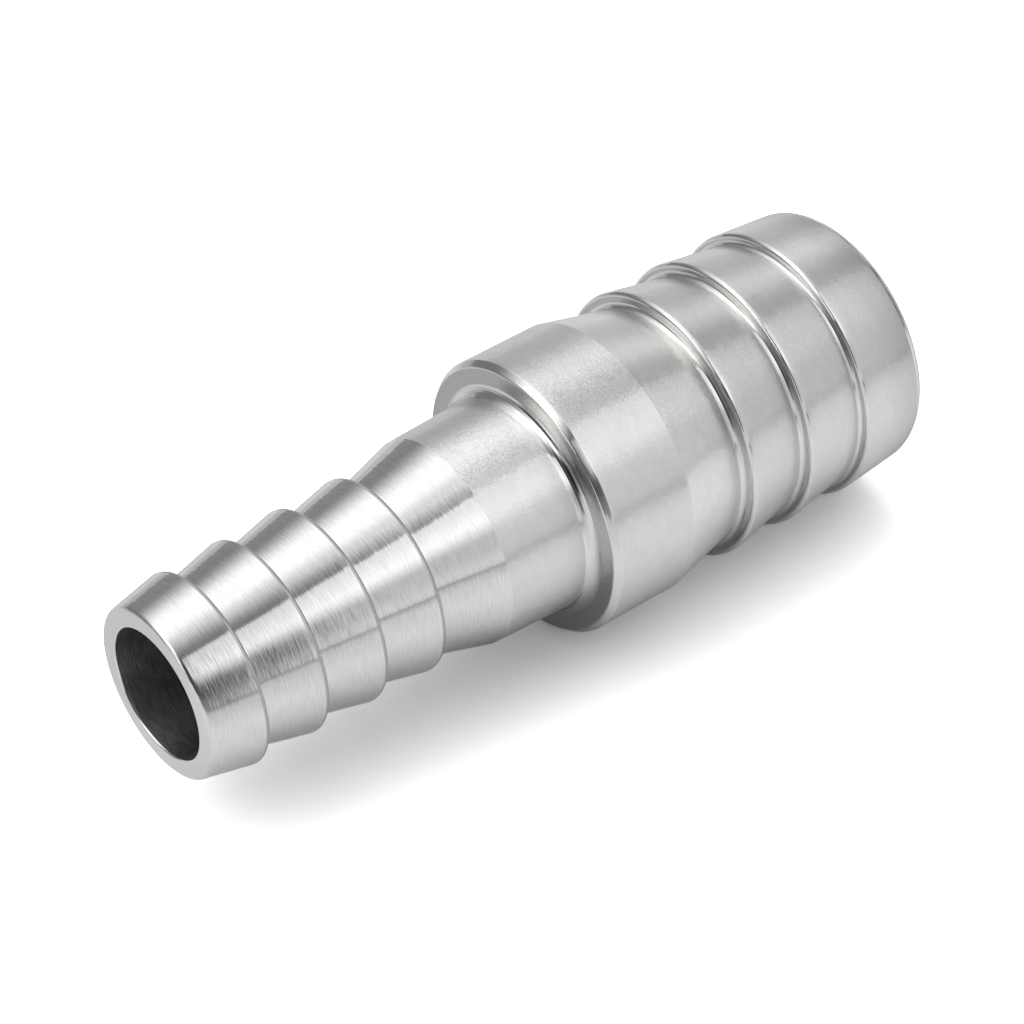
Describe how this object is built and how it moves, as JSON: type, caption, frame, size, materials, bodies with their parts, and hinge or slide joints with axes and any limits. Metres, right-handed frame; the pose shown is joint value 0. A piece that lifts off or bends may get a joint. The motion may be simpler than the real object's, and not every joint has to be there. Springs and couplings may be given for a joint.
{
  "type": "hose barb reducer",
  "caption": "Turned stainless hose reducer: small barbs, a neck, a shouldered collar and large barbs, with a stepped bore right through.",
  "frame": {"origin": "centre of the large end's face, on which the part stands", "axes": "+Z along the bore, from the large end to the small end; the part is round, so X and Y are free"},
  "size_m": [0.0216, 0.0216, 0.062],
  "materials": {
    "stainless_steel": "fine turned on the small barbs, satin elsewhere"
  },
  "bodies": {
    "root": {"hose_barb_reducer": "stainless_steel"}
  },
  "joints": []
}
